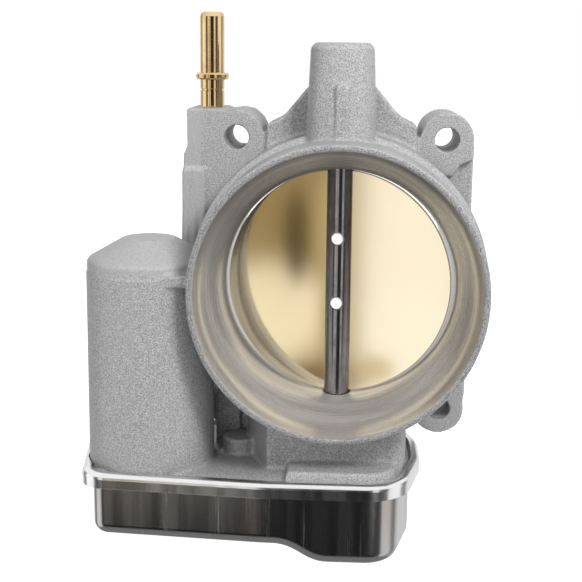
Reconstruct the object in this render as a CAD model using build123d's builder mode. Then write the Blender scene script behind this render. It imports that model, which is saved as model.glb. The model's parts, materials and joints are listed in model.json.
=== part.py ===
from build123d import *
import math
import os

# An electronic throttle body. All sizes are in millimetres.
#
# Frame: +Y is the air flow, from the inlet lip to the manifold. +Z runs up the throttle shaft and
# +X is to the right when looking into the inlet. The origin is the middle of the bore at the
# mounting face. The plate rests at its limp-home tilt, a little open.

# ---- Driving dimensions ----
BORE_R = 41.0
INLET_Y = -77.0
LIP_R = 51.6
LIP_INNER_R = 49.3
LIP_EDGE = 0.5
SHOULDER_R = 53.8
SHOULDER_Y = (-47.5, -36.0)
BARREL_R = 50.0
BELL_Y = (-72.0, -46.5)
SHAFT_Y = -44.6
SHAFT_R = 4.75
REST_TILT = 9.0
OPEN_TRAVEL = 76.0

# Mounting ears and the rear body
HOLE_X = 38.4
HOLE_Z = 50.7
HOLE_R = 4.4
EAR_FRONT_Y = -33.0
WEB_FRONT_Y = -29.0
BODY_HALF_X = 48.5
BODY_HALF_Z = 47.0

# Upper shaft boss
BOSS_TOP_Z = 84.8
BOSS_TOP_R = 11.15
BOSS_FOOT_R = 12.6
BOSS_EDGE = 1.7
BRACE_REAR_Y = -8.0
BRACE_DEPTH = 27.0

# Motor
MOTOR_X = -68.0
MOTOR_Y = -50.0
MOTOR_CASE_R = 22.8
MOTOR_CAP_TOP_Z = 16.0
MOTOR_BORE_R = 18.8
CAN_R = 18.5
CAN_WALL = 1.2
CAN_TOP_Z = -8.0
CAN_BOTTOM_Z = -69.0
MOTOR_SHAFT_R = 1.6
BUSH_R = 4.3
LUG_ANGLES = (110, 310)
LUG_R = 20.8
LUG_SCREW_R = 1.25

# Vacuum port tube
PORT_X = -49.0
PORT_Y = -18.0
PORT_TUBE_R = 4.5
PORT_TOP_Z = 95.8
PORT_SOCKET_Z = 52.5

# Gear case, counted down from its deck
DECK_Z = -66.2
FLANGE_TOP_Z = -67.4
FLANGE_FOOT_Z = -69.0
SPIGOT_Z = -71.5
RIM_TOP_Z = -65.5
RIM_FOOT_Z = -71.0
LEDGE_TOP_Z = -69.6
SHALLOW_FLOOR_Z = -90.5
DEEP_FLOOR_Z = -97.0
SHEET = 2.0
RIM_SHEET = 1.6
RIM_OVERHANG = 4.0

# Gears: one module throughout, full-depth teeth at a steep pressure angle
MODULE = 1.0
PRESSURE_ANGLE = math.radians(25)
TOOTH_THINNING = 0.10
PINION_TEETH = 12
LARGE_TEETH = 54
SMALL_TEETH = 18
SECTOR_TEETH = 54
PINION_Z = (-86.3, -78.8)
LARGE_Z = (-85.0, -80.0)
SMALL_Z = (-80.0, -71.7)
SECTOR_Z = (-78.5, -72.5)

# Bearings, axle and running clearance. Each ring: where its foot is, and its height.
BEARING_R = 7.14
RUNNING_GAP = 0.03
PIN_R = 3.0
UPPER_BEARING = (56.0, 12.0)
LOWER_BEARING = (-56.8, 9.6)
UPPER_SEAL = (43.0, 3.4)
LOWER_SEAL = (-46.4, 3.4)
SPRING_CHAMBER_R = 14.5
SPRING_CHAMBER_TOP_Z = -57.0
SPRING_LEG_X = 0.3

# Stepped lower end of the shaft, and the stop the sector gear closes against
GEAR_SEAT_R = 3.8
SCREW_SEAT = 3.9
SHAFT_END_Z = -87.0
STOP_Y = -64.4
STOP_Z = -75.5
STOP_TIP_X = -0.1

# Position sensor
SENSOR_BOARD_Z = -90.4
SENSOR_BOARD_T = 1.4
SENSOR_POSTS = [(17.5, -59.5), (17.5, -30)]
SENSOR_OUTLINE = [(-5, -56), (3, -63.5), (21.5, -63.5), (21.5, -26), (-5, -26)]

# Connector in the cover's rear wall
WALL_Y = -8.0
CONNECTOR_X = -70.0
CONNECTOR_Z = -79.2
CONNECTOR_SCREW_X = 16.5
PLUG_W = 24.6
PLUG_H = 9.6
TERMINAL_PITCH = (7.0, 4.0)
TERMINAL_SIZE = (2.0, 0.8)

os.makedirs("parts", exist_ok=True)


# ---- Shared geometry ----
def across(y):
    """A sketch plane square to the air flow: local x is X, local y is Z, extrusion is upstream."""
    return Plane(origin=(0, y, 0), x_dir=(1, 0, 0), z_dir=(0, -1, 0))


def level(z):
    """A horizontal sketch plane."""
    return Plane.XY.offset(z)


def level_at(x, y, z):
    """A horizontal sketch plane with its origin moved to x, y."""
    return Plane(origin=(x, y, z))


def around_motor(z):
    """A horizontal sketch plane with its origin on the motor's axis."""
    return level_at(MOTOR_X, MOTOR_Y, z)


def facing_engine(x, y, z):
    """A sketch plane square to the air flow that extrudes downstream."""
    return Plane(origin=(x, y, z), x_dir=(-1, 0, 0), z_dir=(0, 1, 0))


def finish(part, name):
    """Label a finished piece and write it to its file."""
    part.label = name
    export_step(part, f"parts/{name}.step")


def involute_angle(pressure):
    """How far round an involute has turned where its pressure angle is this, in radians."""
    return math.tan(pressure) - pressure


def gear_points(teeth, middle):
    """Outline of a spur gear with a tooth centred on the direction middle, in radians."""
    pitch_r = MODULE * teeth / 2
    base_r = pitch_r * math.cos(PRESSURE_ANGLE)
    tip_r = pitch_r + 0.95 * MODULE
    root_r = pitch_r - 1.2 * MODULE
    half_at_pitch = math.pi / (2 * teeth) - TOOTH_THINNING / (2 * pitch_r)
    flank = [root_r] if root_r < base_r else []
    start_r = max(root_r, base_r)
    flank += [start_r + (tip_r - start_r) * step / 4 for step in range(5)]
    half_tooth = []
    for r in flank:
        pressure = math.acos(min(1.0, base_r / r))
        narrowing = involute_angle(pressure) - involute_angle(PRESSURE_ANGLE)
        half_tooth.append((r, half_at_pitch - narrowing))
    points = []
    for tooth in range(teeth):
        centre = middle + 2 * math.pi * tooth / teeth
        sides = [(r, centre - half) for r, half in half_tooth]
        sides += [(r, centre + half) for r, half in reversed(half_tooth)]
        points += [(r * math.cos(angle), r * math.sin(angle)) for r, angle in sides]
    return points


def gear_face(teeth, middle):
    """The filled outline of a spur gear about the origin."""
    with BuildSketch() as outline:
        with BuildLine():
            Polyline(*gear_points(teeth, middle), close=True)
        make_face()
    return outline.sketch


CASE_CORNERS = [
    (-90.0, -73.2, 10),
    (-25.0, -79.0, 60),
    (24.0, -79.0, 17),
    (31.5, -46.0, 30),
    (31.5, -26.0, 30),
    (25.0, -4.0, 10),
    (-99.5, -4.0, 10),
]


def case_outline(inset):
    """Plan outline of the gear case's rim, pulled in by inset."""
    with BuildSketch() as plan:
        with BuildLine():
            Polyline(*[(x, y) for x, y, _ in CASE_CORNERS], close=True)
        make_face()
        for x, y, corner_r in CASE_CORNERS:
            fillet(plan.vertices().sort_by_distance((x, y, 0))[0], radius=corner_r)
        if inset > 0:
            offset(amount=-inset, kind=Kind.INTERSECTION)
    return plan.sketch


def tray_profile(lift, side):
    """Front view of the cover: a shallow floor under the motor and a deep one under the shaft."""
    floor = SHALLOW_FLOOR_Z + lift
    pocket = DEEP_FLOOR_Z + lift
    with BuildSketch() as profile:
        with BuildLine():
            Line((-110, LEDGE_TOP_Z), (-110, floor))
            Line((-110, floor), (-22 + side, floor))
            Spline(
                (-22 + side, floor),
                (-2 + side, pocket),
                tangents=[(1, 0), (1, 0)],
            )
            Line((-2 + side, pocket), (50, pocket))
            Line((50, pocket), (50, LEDGE_TOP_Z))
            Line((50, LEDGE_TOP_Z), (-110, LEDGE_TOP_Z))
        make_face()
    return profile.sketch


def circle_crossing(a, a_radius, b, b_radius):
    """The point at a_radius from a and b_radius from b, on the left of the way from a to b."""
    gap = math.dist(a, b)
    along = (a_radius**2 - b_radius**2 + gap**2) / (2 * gap)
    aside = math.sqrt(a_radius**2 - along**2)
    ux = (b[0] - a[0]) / gap
    uy = (b[1] - a[1]) / gap
    return (a[0] + along * ux - aside * uy, a[1] + along * uy + aside * ux)


# The intermediate axle sits where both of its gear pairs are at their working distance.
MOTOR_REACH = MODULE * (PINION_TEETH + LARGE_TEETH) / 2
SECTOR_REACH = MODULE * (SMALL_TEETH + SECTOR_TEETH) / 2
IDLER_X, IDLER_Y = circle_crossing((MOTOR_X, MOTOR_Y), MOTOR_REACH, (0, SHAFT_Y), SECTOR_REACH)
TO_IDLER = math.atan2(IDLER_Y - MOTOR_Y, IDLER_X - MOTOR_X)
TO_SHAFT = math.atan2(SHAFT_Y - IDLER_Y, -IDLER_X)
LARGE_PHASE = TO_IDLER + math.pi + math.pi / LARGE_TEETH
SECTOR_PHASE = TO_SHAFT + math.pi + math.pi / SECTOR_TEETH

# The plate's own plane: local x crosses the bore, local y is Z and it faces the inlet.
TILT = math.radians(REST_TILT)
PLATE_PLANE = Plane(
    origin=(0, SHAFT_Y, 0),
    x_dir=(math.cos(TILT), -math.sin(TILT), 0),
    z_dir=(-math.sin(TILT), -math.cos(TILT), 0),
)
PLATE_R = BORE_R - 0.3
PLATE_T = 1.8
PLATE_SCREW_Z = (16.2, -7.3)
PLATE_SCREW_R = 2.0

# ---- throttle_housing: the casting that carries everything ----
EARS = [(side * HOLE_X, up * HOLE_Z) for side in (-1, 1) for up in (-1, 1)]
LEFT_TOP_PAD = [(-49.3, 20), (-49.3, 56), (-45, 60.2), (-34, 60.2), (-25.7, 48.8), (-20, 38)]
RIGHT_TOP_PAD = [(26.4, 47), (31.6, 57.8), (48.2, 50.7), (48.3, 43.6), (43.3, 41.7)]
RIGHT_TOP_PAD += [(40.6, 37.3), (30, 38)]
LEFT_FOOT_PAD = [(-48.6, -52), (-45, -38), (-30, -42), (-27, -49), (-31.5, -58.2)]
RIGHT_FOOT_PAD = [(47.8, -50.7), (47.8, -40), (30, -42), (27, -48), (32, -57.4)]
WINGS = [(-28, 40), (-27, 55.8), (-23, 57.5), (-20, 60), (-13, 68.5), (-9, 72)]
WINGS += [(-x, z) for x, z in reversed(WINGS)]
PORT_BOSS = [(-43.5, 61), (-56.7, 61), (-56.7, 47), (-58, 44.5), (-59, 10), (-54, 2), (-43.5, 2)]
NECK = [(-24.5, -62), (17, -62), (24.5, -52), (24.5, -9), (-33, -9), (-33, -40), (-31, -45)]
SHELF = [(-18, -75.2), (18, -75.2), (22.5, -70), (22.5, -58), (-18, -58)]
BODY_WALL = 3.6
DRAFT = 18

with BuildPart() as throttle_housing:
    # The inlet tube, its shoulder and the rear barrel turn about the bore axis.
    with BuildSketch(Plane.YZ):
        with BuildLine():
            Polyline(
                (INLET_Y, 0),
                (INLET_Y, LIP_R - LIP_EDGE),
                (INLET_Y + LIP_EDGE, LIP_R),
                (SHOULDER_Y[0] - 2, LIP_R),
                (SHOULDER_Y[0], SHOULDER_R),
                (SHOULDER_Y[1], SHOULDER_R),
                (SHOULDER_Y[1] + 2, BARREL_R),
                (0, BARREL_R),
                (0, 0),
                close=True,
            )
        make_face()
    revolve(axis=Axis.Y)

    # Rear body: a square web behind the tube, with a taller pad at each ear.
    with BuildSketch(across(0)):
        Rectangle(2 * BODY_HALF_X, 2 * BODY_HALF_Z)
    extrude(amount=-WEB_FRONT_Y)
    with BuildSketch(across(0)):
        for ear, ear_r in zip(EARS, (10.6, 10.0, 9.6, 9.8)):
            with Locations(ear):
                Circle(ear_r)
        for pad in (LEFT_TOP_PAD, RIGHT_TOP_PAD, LEFT_FOOT_PAD, RIGHT_FOOT_PAD):
            with BuildLine():
                Polyline(*pad, close=True)
            make_face()
    extrude(amount=-EAR_FRONT_Y)

    # The wings brace the upper boss, and the foot column ties the left ear to the gear case.
    with BuildSketch(across(BRACE_REAR_Y)):
        with BuildLine():
            Polyline(*WINGS, close=True)
        make_face()
        with Locations((-41.25, -56)):
            Rectangle(9.5, 24)
    extrude(amount=BRACE_DEPTH)

    # Vacuum port boss with cast ribs on its front.
    with BuildSketch(across(0)):
        with BuildLine():
            Polyline(*PORT_BOSS, close=True)
        make_face()
    extrude(amount=-EAR_FRONT_Y)
    with Locations(*[Location((x, EAR_FRONT_Y, 24)) for x in (-57.2, -54.0, -50.8)]):
        Cylinder(radius=1.4, height=30)

    # Upper shaft boss and its front rib.
    with BuildSketch(Plane(origin=(0, SHAFT_Y, 0), x_dir=(1, 0, 0), z_dir=(0, -1, 0))):
        with BuildLine():
            Polyline(
                (0, 40),
                (BOSS_FOOT_R + 0.4, 40),
                (BOSS_FOOT_R, 52),
                (BOSS_TOP_R, BOSS_TOP_Z - BOSS_EDGE),
                (BOSS_TOP_R - BOSS_EDGE, BOSS_TOP_Z),
                (0, BOSS_TOP_Z),
                close=True,
            )
        make_face()
    revolve(axis=Axis(origin=(0, SHAFT_Y, 0), direction=(0, 0, 1)))
    with BuildSketch(across(SHAFT_Y)):
        with Locations((0.3, 58)):
            SlotOverall(26, 4.6, rotation=90)
    extrude(amount=13.4)

    # Motor case: a straight wall, a parting line and a coned cap.
    with BuildSketch(Plane(origin=(MOTOR_X, MOTOR_Y, 0), x_dir=(1, 0, 0), z_dir=(0, -1, 0))):
        with BuildLine():
            Polyline(
                (0, FLANGE_FOOT_Z),
                (MOTOR_CASE_R + 0.2, FLANGE_FOOT_Z),
                (MOTOR_CASE_R, 3.9),
                (MOTOR_CASE_R - 0.35, 4.3),
                (MOTOR_CASE_R - 0.35, 7.8),
                (MOTOR_CASE_R - 1.2, 9.0),
                (9.8, MOTOR_CAP_TOP_Z - 0.3),
                (9.0, MOTOR_CAP_TOP_Z),
                (0, MOTOR_CAP_TOP_Z),
                close=True,
            )
        make_face()
    revolve(axis=Axis(origin=(MOTOR_X, MOTOR_Y, 0), direction=(0, 0, 1)))
    with BuildSketch(level(1.5)):
        with BuildLine():
            Polyline((-60, -71.5), (-44, -71.5), (-44, -56), (-60, -56), close=True)
        make_face()
    extrude(amount=4.3)

    # Gear case deck: a thin flange for the cover, a sloped plateau and a spigot below.
    with BuildSketch(level(FLANGE_FOOT_Z)):
        add(case_outline(1.7))
    extrude(amount=FLANGE_TOP_Z - FLANGE_FOOT_Z)
    with BuildSketch(level(FLANGE_TOP_Z)):
        add(case_outline(3.6))
    with BuildSketch(level(DECK_Z)):
        add(case_outline(8.4))
    loft(ruled=True)
    with BuildSketch(level(SPIGOT_Z)):
        add(case_outline(6.6))
    extrude(amount=FLANGE_FOOT_Z - SPIGOT_Z)

    # Neck between the deck and the bore, which holds the return spring.
    with BuildSketch(level(FLANGE_FOOT_Z)):
        with BuildLine():
            Polyline(*NECK, close=True)
        make_face()
        with Locations((20.5, -56.5)):
            Circle(5.6)
        add(case_outline(4), mode=Mode.INTERSECT)
    extrude(amount=30)
    with BuildSketch(level(FLANGE_TOP_Z)):
        with BuildLine():
            Polyline(*SHELF, close=True)
        make_face()
        add(case_outline(4), mode=Mode.INTERSECT)
    extrude(amount=4.6, taper=DRAFT)

    # A short post on the deck, and the boss that grips the intermediate axle.
    with BuildSketch(level(FLANGE_FOOT_Z)):
        with Locations((-49.5, -54)):
            Circle(3.5)
    extrude(amount=11)
    with BuildSketch(level(FLANGE_FOOT_Z)):
        with Locations((IDLER_X, IDLER_Y)):
            Circle(6.5)
    extrude(amount=9)

    # Stops for the sector gear, hung below the deck.
    with BuildSketch(level(-80)):
        with Locations((5.6, -24.6)):
            Rectangle(5, 8)
        with Locations((9.0, STOP_Y)):
            Rectangle(9, 7.4)
    extrude(amount=12)

    # Main bore: a straight lip, a smooth bell and the round throat.
    with BuildSketch(Plane.YZ):
        with BuildLine():
            Line((INLET_Y - 1, 0), (INLET_Y - 1, LIP_INNER_R))
            Line((INLET_Y - 1, LIP_INNER_R), (BELL_Y[0], LIP_INNER_R))
            Spline((BELL_Y[0], LIP_INNER_R), (BELL_Y[1], BORE_R), tangents=[(1, 0), (1, 0)])
            Line((BELL_Y[1], BORE_R), (1, BORE_R))
            Line((1, BORE_R), (1, 0))
            Line((1, 0), (INLET_Y - 1, 0))
        make_face()
    revolve(axis=Axis.Y, mode=Mode.SUBTRACT)

    # Lightening pockets in the mounting face, between the bore wall, the edge and the ears.
    with BuildSketch(across(0)):
        Rectangle(2 * (BODY_HALF_X - BODY_WALL), 2 * (BODY_HALF_Z - BODY_WALL))
        Circle(46.5, mode=Mode.SUBTRACT)
        for ear in EARS:
            with Locations(ear):
                Circle(11.5, mode=Mode.SUBTRACT)
        with Locations((-49, 30)):
            Rectangle(16, 70, mode=Mode.SUBTRACT)
    extrude(amount=23, mode=Mode.SUBTRACT)

    # Mounting holes through the ears.
    with BuildSketch(across(1)):
        with Locations(*EARS):
            Circle(HOLE_R)
    extrude(amount=1 - EAR_FRONT_Y + 1, mode=Mode.SUBTRACT)

    # Shaft passage, bearing seats at both ends and the spring chamber.
    with BuildSketch(level_at(0, SHAFT_Y, -60)):
        Circle(SHAFT_R + 0.25)
    extrude(amount=110, mode=Mode.SUBTRACT)
    with BuildSketch(level_at(0, SHAFT_Y, UPPER_SEAL[0])):
        Circle(BEARING_R)
    extrude(amount=50, mode=Mode.SUBTRACT)
    with BuildSketch(level_at(0, SHAFT_Y, SPRING_CHAMBER_TOP_Z - 1)):
        Circle(BEARING_R)
    extrude(amount=sum(LOWER_SEAL) - SPRING_CHAMBER_TOP_Z + 1, mode=Mode.SUBTRACT)
    with BuildSketch(level_at(0, SHAFT_Y, SPIGOT_Z - 1)):
        Circle(SPRING_CHAMBER_R)
    extrude(amount=SPRING_CHAMBER_TOP_Z - SPIGOT_Z + 1, mode=Mode.SUBTRACT)
    with BuildSketch(level_at(SPRING_LEG_X, SHAFT_Y + SPRING_CHAMBER_R + 1, -60.2)):
        Rectangle(2.2, 4)
    extrude(amount=2.2, mode=Mode.SUBTRACT)

    # Motor bore with a relief for its upper bush, and slots for the end plate's lugs.
    with BuildSketch(around_motor(SPIGOT_Z - 1)):
        Circle(MOTOR_BORE_R)
    extrude(amount=CAN_TOP_Z + 1 - SPIGOT_Z + 1, mode=Mode.SUBTRACT)
    with BuildSketch(around_motor(CAN_TOP_Z)):
        Circle(6.5)
    extrude(amount=4.4, mode=Mode.SUBTRACT)
    for lug_angle in LUG_ANGLES:
        with BuildSketch(around_motor(SPIGOT_Z - 1)):
            with PolarLocations(LUG_R, 1, start_angle=lug_angle):
                Circle(3.4)
        extrude(amount=3.5, mode=Mode.SUBTRACT)
        with BuildSketch(around_motor(SPIGOT_Z)):
            with PolarLocations(LUG_R, 1, start_angle=lug_angle):
                Circle(LUG_SCREW_R)
        extrude(amount=12, mode=Mode.SUBTRACT)

    # Press hole for the intermediate axle and the thread for the stop screw.
    with BuildSketch(level_at(IDLER_X, IDLER_Y, SPIGOT_Z - 1)):
        Circle(PIN_R)
    extrude(amount=10.5, mode=Mode.SUBTRACT)
    with BuildSketch(Plane(origin=(0, STOP_Y, STOP_Z), x_dir=(0, 1, 0), z_dir=(1, 0, 0))):
        Circle(2.0)
    extrude(amount=20, mode=Mode.SUBTRACT)

    # Vacuum port: a socket for the tube, then a passage into the bore behind the plate.
    with BuildSketch(level_at(PORT_X, PORT_Y, PORT_SOCKET_Z)):
        Circle(PORT_TUBE_R)
    extrude(amount=10, mode=Mode.SUBTRACT)
    with BuildSketch(level_at(PORT_X, PORT_Y, 14)):
        Circle(3)
    extrude(amount=40, mode=Mode.SUBTRACT)
    with BuildSketch(Plane(origin=(PORT_X, PORT_Y, 17), x_dir=(0, 1, 0), z_dir=(1, 0, 0))):
        Circle(3)
    extrude(amount=16, mode=Mode.SUBTRACT)
finish(throttle_housing.part, "throttle_housing")

# ---- Gear case cover and its gasket ----
with BuildPart() as cover_hollow:
    with BuildSketch(level(DEEP_FLOOR_Z)):
        add(case_outline(RIM_OVERHANG + SHEET))
    extrude(amount=LEDGE_TOP_Z - DEEP_FLOOR_Z)
    with BuildSketch(across(5)):
        add(tray_profile(SHEET, 0.6))
    extrude(amount=95, mode=Mode.INTERSECT)

with BuildPart() as gear_cover:
    # Drawn tray.
    with BuildSketch(level(DEEP_FLOOR_Z)):
        add(case_outline(RIM_OVERHANG))
    extrude(amount=LEDGE_TOP_Z - DEEP_FLOOR_Z)
    with BuildSketch(across(5)):
        add(tray_profile(0, 0))
    extrude(amount=95, mode=Mode.INTERSECT)
    tray_foot = gear_cover.edges().filter_by(
        lambda edge: edge.bounding_box().max.Z < SHALLOW_FLOOR_Z + 0.01
    )
    fillet(tray_foot, radius=4.5)
    add(cover_hollow.part, mode=Mode.SUBTRACT)

    # Rolled rim that closes over the deck's flange.
    with BuildSketch(level(RIM_FOOT_Z)):
        add(case_outline(0))
    extrude(amount=RIM_TOP_Z - RIM_FOOT_Z)
    fillet(gear_cover.faces().sort_by(Axis.Z)[-1].edges(), radius=2.2)
    with BuildSketch(level(LEDGE_TOP_Z)):
        add(case_outline(RIM_SHEET))
    extrude(amount=FLANGE_TOP_Z + 0.02 - LEDGE_TOP_Z, mode=Mode.SUBTRACT)
    with BuildSketch(level(FLANGE_TOP_Z)):
        add(case_outline(3.3))
    extrude(amount=5, mode=Mode.SUBTRACT)
    with BuildSketch(level(RIM_FOOT_Z - 1)):
        add(case_outline(RIM_OVERHANG + SHEET))
    extrude(amount=4, mode=Mode.SUBTRACT)

    # Room for the motor case where it stands against the rim.
    with BuildSketch(around_motor(FLANGE_TOP_Z)):
        Circle(MOTOR_CASE_R + 0.7)
    extrude(amount=5, mode=Mode.SUBTRACT)

    # Cup that steadies the lower end of the intermediate axle, and posts for the sensor board.
    with BuildSketch(level_at(IDLER_X, IDLER_Y, SHALLOW_FLOOR_Z + SHEET - 0.5)):
        Circle(5)
    extrude(amount=2.9)
    with BuildSketch(level_at(IDLER_X, IDLER_Y, SHALLOW_FLOOR_Z + SHEET)):
        Circle(PIN_R + RUNNING_GAP)
    extrude(amount=4, mode=Mode.SUBTRACT)
    with BuildSketch(level(DEEP_FLOOR_Z + SHEET - 0.5)):
        with Locations(*SENSOR_POSTS):
            Circle(2.8)
    extrude(amount=SENSOR_BOARD_Z - DEEP_FLOOR_Z - SHEET + 0.5)
    with BuildSketch(level(DEEP_FLOOR_Z + SHEET)):
        with Locations(*SENSOR_POSTS):
            Circle(1.0)
    extrude(amount=10, mode=Mode.SUBTRACT)

    # Window and screw holes for the connector in the rear wall.
    with BuildSketch(facing_engine(CONNECTOR_X, -20, CONNECTOR_Z)):
        RectangleRounded(PLUG_W + 0.6, PLUG_H + 0.6, 2)
        with Locations((-CONNECTOR_SCREW_X, 0), (CONNECTOR_SCREW_X, 0)):
            Circle(1.25)
    extrude(amount=18, mode=Mode.SUBTRACT)
finish(gear_cover.part, "gear_cover")

with BuildPart() as cover_gasket:
    with BuildSketch(level(LEDGE_TOP_Z)):
        add(case_outline(RIM_SHEET + 0.2))
        add(case_outline(RIM_OVERHANG + SHEET + 0.3), mode=Mode.SUBTRACT)
    extrude(amount=FLANGE_FOOT_Z - LEDGE_TOP_Z)
finish(cover_gasket.part, "cover_gasket")

# ---- Vacuum port tube ----
with BuildPart() as port_tube:
    with BuildSketch(Plane(origin=(PORT_X, PORT_Y, 0), x_dir=(1, 0, 0), z_dir=(0, -1, 0))):
        with BuildLine():
            Polyline(
                (3.1, PORT_SOCKET_Z + 0.2),
                (PORT_TUBE_R, PORT_SOCKET_Z + 0.2),
                (PORT_TUBE_R, 67.0),
                (PORT_TUBE_R - 0.25, 67.2),
                (PORT_TUBE_R - 0.25, 67.7),
                (PORT_TUBE_R, 67.9),
                (PORT_TUBE_R, 71.0),
                (5.7, 71.2),
                (6.15, 71.8),
                (6.15, 73.0),
                (5.7, 73.6),
                (PORT_TUBE_R, 73.8),
                (PORT_TUBE_R, PORT_TOP_Z - 1.6),
                (PORT_TUBE_R - 0.3, PORT_TOP_Z - 0.6),
                (PORT_TUBE_R - 0.9, PORT_TOP_Z),
                (3.4, PORT_TOP_Z),
                (3.1, PORT_TOP_Z - 0.3),
                close=True,
            )
        make_face()
    revolve(axis=Axis(origin=(PORT_X, PORT_Y, 0), direction=(0, 0, 1)))
finish(port_tube.part, "port_tube")

# ---- Shaft bearings, seals and the plug over the boss ----
def ring(foot, height):
    """A ring that fills a seat of the housing and carries the throttle shaft."""
    with BuildPart() as turned:
        with BuildSketch(level_at(0, SHAFT_Y, foot)):
            Circle(BEARING_R)
            Circle(SHAFT_R + RUNNING_GAP, mode=Mode.SUBTRACT)
        extrude(amount=height)
        fillet(turned.edges().filter_by(GeomType.CIRCLE), radius=0.25)
    return turned.part


finish(ring(*UPPER_BEARING), "upper_bearing")
finish(ring(*LOWER_BEARING), "lower_bearing")
finish(ring(*UPPER_SEAL), "upper_shaft_seal")
finish(ring(*LOWER_SEAL), "lower_shaft_seal")

with BuildPart() as boss_plug:
    with BuildSketch(Plane(origin=(0, SHAFT_Y, 0), x_dir=(1, 0, 0), z_dir=(0, -1, 0))):
        with BuildLine():
            Polyline(
                (0, BOSS_TOP_Z - 3.6),
                (BEARING_R, BOSS_TOP_Z - 3.6),
                (BEARING_R, BOSS_TOP_Z - 0.8),
                (BEARING_R - 1, BOSS_TOP_Z - 0.8),
                (BEARING_R - 1, BOSS_TOP_Z - 2.4),
                (0, BOSS_TOP_Z - 2.4),
                close=True,
            )
        make_face()
    revolve(axis=Axis(origin=(0, SHAFT_Y, 0), direction=(0, 0, 1)))
finish(boss_plug.part, "boss_plug")

# ---- Throttle shaft: full size through the bore, stepped down for the gear and the sensor ----
with BuildPart() as throttle_shaft:
    with BuildSketch(Plane(origin=(0, SHAFT_Y, 0), x_dir=(1, 0, 0), z_dir=(0, -1, 0))):
        with BuildLine():
            Polyline(
                (0, SHAFT_END_Z),
                (2.5, SHAFT_END_Z),
                (2.5, -83.9),
                (3.0, -83.9),
                (3.0, SECTOR_Z[0] - 1),
                (GEAR_SEAT_R, SECTOR_Z[0] - 1),
                (GEAR_SEAT_R, SECTOR_Z[1] + 0.5),
                (SHAFT_R, SECTOR_Z[1] + 0.5),
                (SHAFT_R, 71.4),
                (SHAFT_R - 0.6, 72),
                (0, 72),
                close=True,
            )
        make_face()
    revolve(axis=Axis(origin=(0, SHAFT_Y, 0), direction=(0, 0, 1)))
    # Slot for the plate, screw holes and the faces the screw heads bear on.
    with BuildSketch(PLATE_PLANE.offset(-PLATE_T / 2)):
        Rectangle(2 * SHAFT_R + 2, 2 * PLATE_R + 0.6)
    extrude(amount=PLATE_T, mode=Mode.SUBTRACT)
    with BuildSketch(PLATE_PLANE.offset(-SHAFT_R - 1)):
        with Locations(*[(0, z) for z in PLATE_SCREW_Z]):
            Circle(PLATE_SCREW_R + 0.05)
    extrude(amount=2 * SHAFT_R + 2, mode=Mode.SUBTRACT)
    with BuildSketch(PLATE_PLANE.offset(SHAFT_R - 0.75)):
        with Locations(*[(0, z) for z in PLATE_SCREW_Z]):
            Circle(PLATE_SCREW_R + 0.5)
    extrude(amount=2, mode=Mode.SUBTRACT)
    with BuildSketch(PLATE_PLANE.offset(-SCREW_SEAT)):
        with Locations(*[(0, z) for z in PLATE_SCREW_Z]):
            Circle(3.6)
    extrude(amount=-3, mode=Mode.SUBTRACT)
finish(throttle_shaft.part, "throttle_shaft")

with BuildPart() as throttle_plate:
    with BuildSketch(PLATE_PLANE):
        Circle(PLATE_R)
        with Locations(*[(0, z) for z in PLATE_SCREW_Z]):
            Circle(PLATE_SCREW_R + 0.05, mode=Mode.SUBTRACT)
    extrude(amount=PLATE_T / 2, both=True)
    fillet(throttle_plate.faces().sort_by(Axis.Y)[0].edges().sort_by(SortBy.LENGTH)[-1], radius=0.3)
finish(throttle_plate.part, "throttle_plate")

with BuildPart() as plate_screws:
    with BuildSketch(PLATE_PLANE.offset(-SCREW_SEAT)):
        with Locations(*[(0, z) for z in PLATE_SCREW_Z]):
            Circle(PLATE_SCREW_R)
    extrude(amount=SCREW_SEAT + SHAFT_R - 0.1)
    with BuildSketch(PLATE_PLANE.offset(-SCREW_SEAT)):
        with Locations(*[(0, z) for z in PLATE_SCREW_Z]):
            Circle(3.4)
    extrude(amount=-2.2)
    heads = plate_screws.faces().filter_by(lambda face: face.area > 30).edges()
    fillet(heads.filter_by(lambda edge: edge.center().Y > SHAFT_Y + SCREW_SEAT + 1.5), radius=0.8)
    with BuildSketch(PLATE_PLANE.offset(-SCREW_SEAT - 2.2)):
        with Locations(*[(0, z) for z in PLATE_SCREW_Z]):
            Rectangle(3.8, 0.9)
            Rectangle(0.9, 3.8)
    extrude(amount=1.2, mode=Mode.SUBTRACT)
finish(plate_screws.part, "plate_screws")

# ---- Sector gear on the shaft ----
MESH_ANGLE = math.degrees(TO_SHAFT) + 180
SECTOR_FROM = MESH_ANGLE - REST_TILT - 8
SECTOR_TO = MESH_ANGLE + OPEN_TRAVEL + 8


def pie(radius, start, end):
    """A wedge of a disc about the origin, from start to end in degrees."""
    with BuildSketch() as wedge:
        with BuildLine():
            rim = CenterArc((0, 0), radius, start, end - start)
            Line((0, 0), rim @ 0)
            Line(rim @ 1, (0, 0))
        make_face()
    return wedge.sketch


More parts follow.
